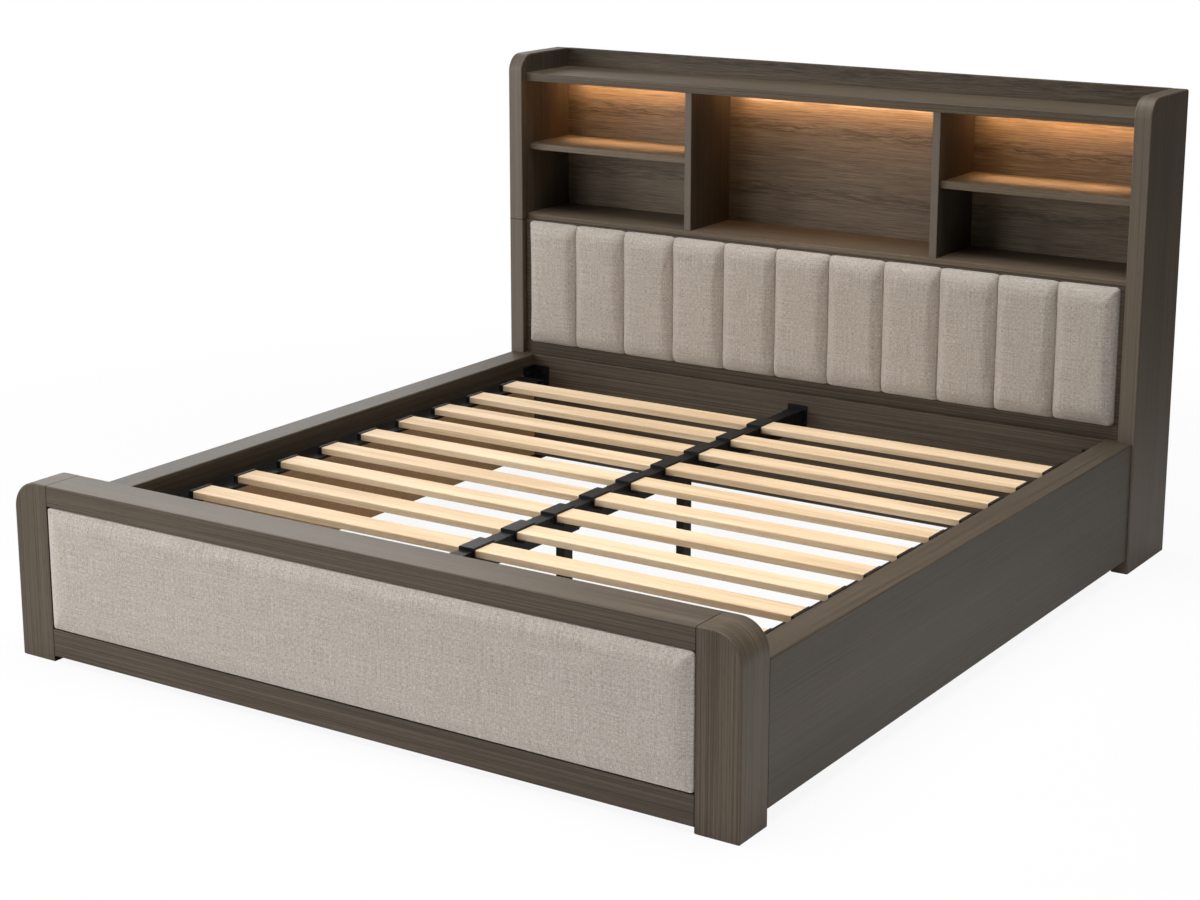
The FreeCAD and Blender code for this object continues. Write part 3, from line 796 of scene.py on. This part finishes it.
def screw_heads(name, spots, radius, height):
    """One mesh of screw heads, each at a place and facing one way along an axis."""
    rings = [(1.0, 0.0), (1.0, 0.4), (0.8, 1.0), (0.46, 1.0), (0.38, 0.35)]
    sides = 14
    around = [i * math.tau / sides for i in range(sides)]
    shape = bmesh.new()
    for (px, py, pz), axis, way in spots:
        loops = []
        for wide, tall in rings:
            loop = []
            for angle in around:
                flat = [radius * wide * math.cos(angle), radius * wide * math.sin(angle)]
                flat.insert(axis, way * height * tall)
                loop.append(shape.verts.new((px + flat[0], py + flat[1], pz + flat[2])))
            loops.append(loop)
        for lower, upper in zip(loops, loops[1:]):
            for i in range(sides):
                j = (i + 1) % sides
                shape.faces.new((lower[i], lower[j], upper[j], upper[i]))
        shape.faces.new(loops[-1])
        shape.faces.new(list(reversed(loops[0])))
    bmesh.ops.recalc_face_normals(shape, faces=shape.faces)
    mesh = bpy.data.meshes.new(name)
    shape.to_mesh(mesh)
    shape.free()
    mesh.materials.append(black_steel)
    piece = link(name, mesh)
    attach(piece, "bed_frame")


low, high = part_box("corner_brackets")
plate = 0.004
from_corner = 0.040
spots = []
for side, face_x in ((1, low.x), (-1, high.x)):
    for end, face_y in ((1, low.y), (-1, high.y)):
        for rise in (0.022, 0.058):
            z = low.z + rise
            spots.append(((face_x + side * plate, face_y + end * from_corner, z), across_bed, side))
            spots.append(((face_x + side * from_corner, face_y + end * plate, z), along_bed, end))
screw_heads("corner_screws", spots, radius=0.0055, height=0.0028)

low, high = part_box("beam_brackets")
ear_middle = 0.0288
spots = [((x, y + end * plate, low.z + rise), along_bed, end) for end, y in ((1, low.y), (-1, high.y))
         for x in (-ear_middle, ear_middle) for rise in (0.020, 0.064)]
screw_heads("bracket_screws", spots, radius=0.0036, height=0.0022)

ledge_wall = 0.003
ledge_rise = 0.018
ledge_end = 0.06
spots = []
for side, name in ((1, "left_slat_ledge"), (-1, "right_slat_ledge")):
    low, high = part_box(name)
    flange = (low.x if side > 0 else high.x) + side * ledge_wall
    spots += [((flange, y, low.z + ledge_rise), across_bed, side)
              for y in np.linspace(low.y + ledge_end, high.y - ledge_end, 7)]
screw_heads("ledge_screws", spots, radius=0.0050, height=0.0026)

leg_plate = 0.004
leg_screw = 0.031
spots = []
for name in ("front_centre_leg", "rear_centre_leg"):
    low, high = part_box(name)
    middle_y = (low.y + high.y) / 2
    spots += [((0.0, middle_y + step, high.z - leg_plate), upwards, -1) for step in (-leg_screw, leg_screw)]
screw_heads("leg_screws", spots, radius=0.0045, height=0.0026)

low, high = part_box("lower_back_panel")
top_low, top_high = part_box("bookcase_back_panel")
from_side = 0.03
from_edge = 0.02
from_lip = 0.075
spots = [((x, high.y, z), along_bed, 1) for x in np.linspace(low.x + from_side, high.x - from_side, 9)
         for z in (low.z + from_edge, high.z - from_edge, top_low.z + from_edge, top_high.z - from_lip)]
screw_heads("back_screws", spots, radius=0.0038, height=0.0004)


# Studio: a wide white floor that keeps a faint shadow, a soft light with a narrow opening overhead, broad
# ones to the left, front left and back left, and a weak fill low on the right. The camera stands where the
# fitted view puts it.

white = (1.0, 1.0, 1.0, 1.0)


def floor_paper():
    """White seamless paper, seen near white and lit as plain matt paper."""
    material = bpy.data.materials.new("floor_paper")
    tree = empty_tree(material)
    point = position(tree)
    tone = ramp(tree, noise(tree, point, 40.0, 4.0), (0.3, (0.78, 0.78, 0.78)), (0.7, (0.82, 0.82, 0.82)))
    matt = add(tree, "ShaderNodeBsdfDiffuse", {"Color": tone}).outputs[0]
    bright = add(tree, "ShaderNodeEmission", {"Color": white, "Strength": 1.0}).outputs[0]
    away = add(tree, "ShaderNodeVectorMath", {0: point}, operation="LENGTH").outputs["Value"]
    share = rescale(tree, away, 1.6, 3.6, 0.91, 1.0)
    seen = add(tree, "ShaderNodeMixShader", {0: share, 1: matt, 2: bright}).outputs[0]
    ray = add(tree, "ShaderNodeLightPath", {}).outputs["Is Camera Ray"]
    either = add(tree, "ShaderNodeMixShader", {0: ray, 1: matt, 2: seen}).outputs[0]
    add(tree, "ShaderNodeOutputMaterial", {"Surface": either})
    return material


bpy.ops.mesh.primitive_plane_add(size=120.0, location=(0.0, 0.0, 0.0))
floor = bpy.context.object
floor.name = "studio_floor"
floor.data.materials.append(floor_paper())
floor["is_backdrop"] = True

scene = bpy.context.scene
world = bpy.data.worlds.new("studio")
tree = empty_tree(world)
ambient = add(tree, "ShaderNodeBackground", {"Color": white, "Strength": 0.10}).outputs[0]
backdrop = add(tree, "ShaderNodeBackground", {"Color": white, "Strength": 1.0}).outputs[0]
camera_ray = add(tree, "ShaderNodeLightPath", {}).outputs["Is Camera Ray"]
sky = add(tree, "ShaderNodeMixShader", {0: camera_ray, 1: ambient, 2: backdrop}).outputs[0]
add(tree, "ShaderNodeOutputWorld", {"Surface": sky})
scene.world = world


def softbox(name, place, aim, wide, tall, power, opening=180.0):
    """A rectangular soft light aimed at a point."""
    box = bpy.data.lights.new(name, "AREA")
    box.shape = "RECTANGLE"
    box.size = wide
    box.size_y = tall
    box.energy = power
    box.spread = math.radians(opening)
    lamp = link(name, box)
    lamp.location = place
    way = np.array(aim) - np.array(place)
    flat = math.hypot(way[0], way[1])
    lamp.rotation_euler = (math.atan2(flat, -way[2]), 0.0, math.atan2(way[1], way[0]) - math.pi / 2)
    lamp.visible_camera = False


softbox("overhead", (0.7, -0.5, 4.0), aim=(0.7, -0.5, 0.3), wide=4.4, tall=4.0, power=77.0, opening=80.0)
softbox("left_side", (-4.4, -2.2, 1.9), aim=(0.0, 0.3, 0.6), wide=2.4, tall=2.0, power=98.0)
softbox("front_left", (-2.5, -4.9, 1.9), aim=(0.0, 0.0, 0.6), wide=2.2, tall=2.0, power=58.0)
softbox("back_left", (-6.2, 3.4, 3.3), aim=(0.0, -0.5, 0.5), wide=6.0, tall=2.4, power=195.0)
softbox("side_fill", (2.7, -1.8, 0.45), aim=(1.0, -0.7, 0.25), wide=1.6, tall=0.7, power=1.5)

camera = bpy.data.cameras.new("camera")
camera.lens = 71.82
camera.sensor_width = 36.0
camera.shift_y = -0.06
camera.clip_end = 200.0
level = 90.0
looking_down = 13.622
turned_left = 33.370
viewer = link("camera", camera)
viewer.location = (3.36732, -5.25625, 2.13390)
viewer.rotation_euler = (math.radians(level - looking_down), 0.0, math.radians(turned_left))
scene.camera = viewer
scene.view_settings.view_transform = "Standard"

low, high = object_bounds()
